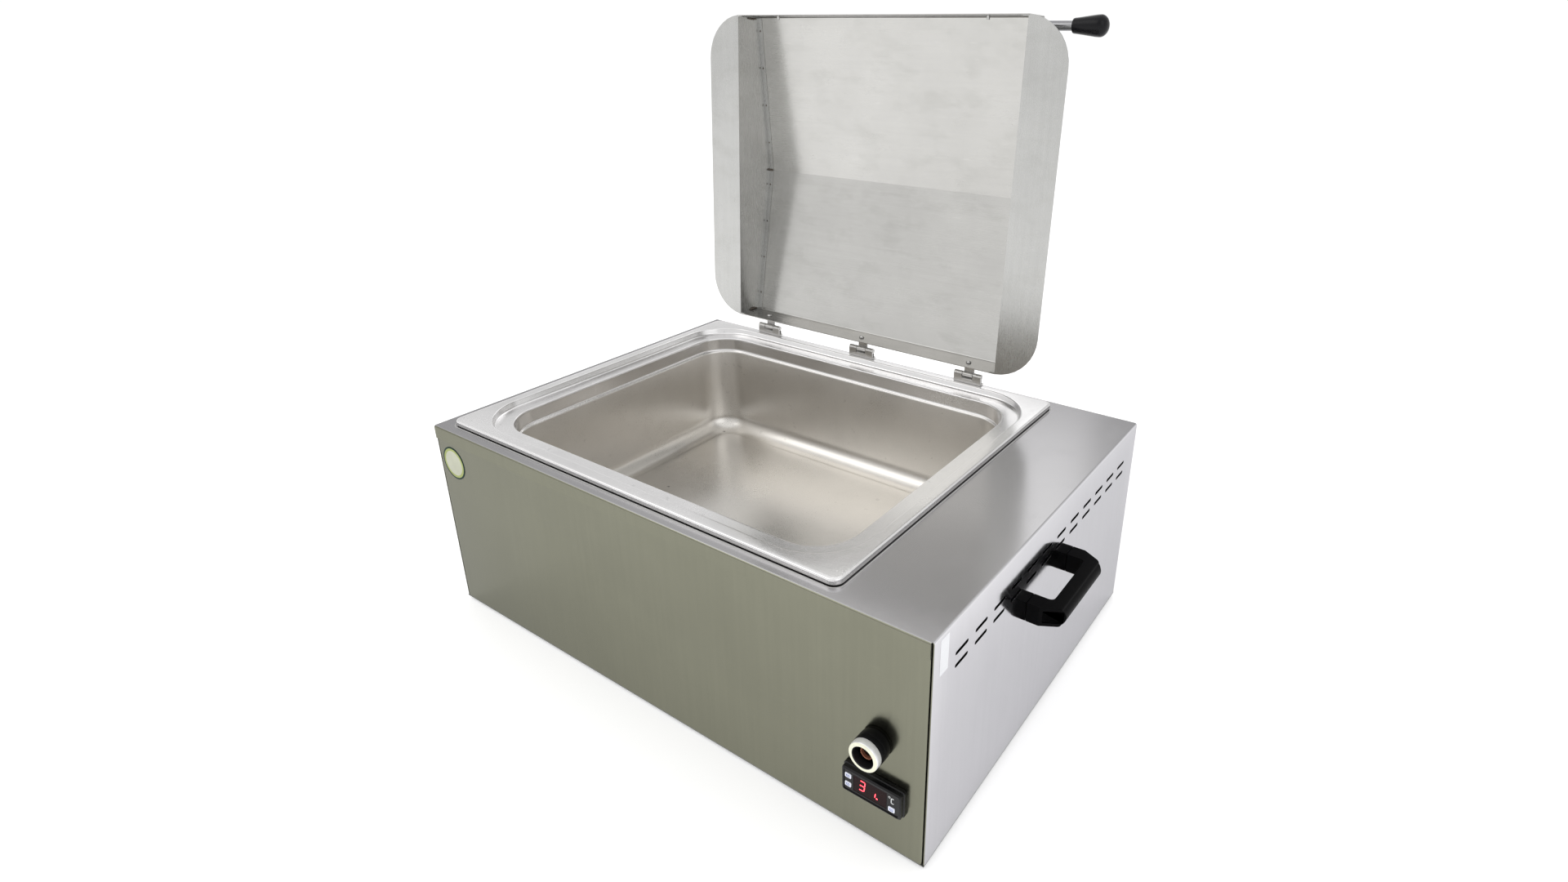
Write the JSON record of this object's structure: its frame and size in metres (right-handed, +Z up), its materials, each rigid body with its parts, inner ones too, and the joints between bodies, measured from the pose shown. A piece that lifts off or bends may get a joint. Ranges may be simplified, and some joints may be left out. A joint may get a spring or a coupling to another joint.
{
  "type": "paraffin wax bath",
  "caption": "Table-top stainless steel bath for melted paraffin wax, with a sunk pan, a hinged roof-shaped lid with a side knob, carrying handles, a digital thermostat and a push button.",
  "frame": {"origin": "on the table, in the middle of the overall footprint with the lid open", "axes": "+Z up, +Y to the back where the lid hinges, +X to the right where the electrical compartment is"},
  "size_m": [0.874, 0.6376, 0.809],
  "materials": {
    "satin_steel": "satin stainless steel with a fine straight grain",
    "polished_steel": "smooth, bright stainless steel rod",
    "pan_steel": "deep-drawn stainless steel, soft satin",
    "bright_steel": "bright pressed stainless steel",
    "black_plastic": "black moulded plastic, low sheen",
    "ring_aluminium": "turned aluminium",
    "clear_silicone": "translucent silicone",
    "grey_plastic": "grey moulded plastic",
    "black_rubber": "black rubber",
    "mineral_wool": "pressed mineral wool",
    "heater_silicone": "orange silicone rubber heating mat",
    "display_window": "dark red filter window",
    "key_plastic": "white key with a pale blue middle",
    "button_lens": "dark brown lens",
    "relay_plastic": "dark grey moulded plastic",
    "terminal_plastic": "off-white moulded plastic"
  },
  "bodies": {
    "casing": {"top_cover": "satin_steel", "front_panel": "satin_steel", "back_panel": "satin_steel", "base_plate": "satin_steel", "jacket_cradle": "satin_steel", "dividing_wall": "satin_steel", "wax_pan": "pan_steel", "temperature_probe": "bright_steel", "probe_clip": "bright_steel", "hinge_base_1": "bright_steel", "hinge_base_2": "bright_steel", "hinge_base_3": "bright_steel", "hinge_pin_1": "bright_steel", "hinge_pin_2": "bright_steel", "hinge_pin_3": "bright_steel", "controller_bezel": "black_plastic", "controller_case": "black_plastic", "button_collar": "black_plastic", "handle_right": "black_plastic", "handle_left": "black_plastic", "button_ring": "ring_aluminium", "button_nut": "ring_aluminium", "pan_seal": "clear_silicone", "safety_cutout": "grey_plastic", "controller_clamp": "grey_plastic", "contact_block": "grey_plastic", "cable_gland": "grey_plastic", "gland_nut": "grey_plastic", "probe_lead": "grey_plastic", "foot_front_left": "black_rubber", "foot_front_right": "black_rubber", "foot_back_left": "black_rubber", "foot_back_right": "black_rubber", "heater_lead": "black_rubber", "button_lead": "black_rubber", "insulation_jacket": "mineral_wool", "heating_mat": "heater_silicone", "controller_window": "display_window", "power_relay": "relay_plastic", "terminal_block": "terminal_plastic"},
    "lid": {"lid_hood": "satin_steel", "lid_gable_left": "satin_steel", "lid_gable_right": "satin_steel", "lid_rod": "polished_steel", "lid_knob": "black_plastic", "rod_bolt": "bright_steel", "front_stud_1": "bright_steel", "front_stud_2": "bright_steel", "hinge_leaf_1": "bright_steel", "hinge_leaf_2": "bright_steel", "hinge_leaf_3": "bright_steel", "leaf_screw_1": "bright_steel", "leaf_screw_2": "bright_steel", "leaf_screw_3": "bright_steel"},
    "button": {"button_plunger": "button_lens"},
    "up_key": {"key_up": "key_plastic"},
    "down_key": {"key_down": "key_plastic"},
    "set_key": {"key_set": "key_plastic"}
  },
  "joints": [
    {"name": "lid_hinge", "type": "hinge", "parent": "casing", "child": "lid", "pos_m": [-0.049, 0.2462, 0.3085], "axis": [1, 0, 0], "range_deg": [0, 93.25]},
    {"name": "button_push", "type": "slide", "parent": "casing", "child": "button", "axis": [0, 1, 0], "range_m": [0, 0.003], "stiffness_N_per_m": 400, "springref_m": -0.002},
    {"name": "up_key_push", "type": "slide", "parent": "casing", "child": "up_key", "axis": [0, 1, 0], "range_m": [0, 0.0008], "stiffness_N_per_m": 400, "springref_m": -0.001},
    {"name": "down_key_push", "type": "slide", "parent": "casing", "child": "down_key", "axis": [0, 1, 0], "range_m": [0, 0.0008], "stiffness_N_per_m": 400, "springref_m": -0.001},
    {"name": "set_key_push", "type": "slide", "parent": "casing", "child": "set_key", "axis": [0, 1, 0], "range_m": [0, 0.0008], "stiffness_N_per_m": 400, "springref_m": -0.001}
  ]
}
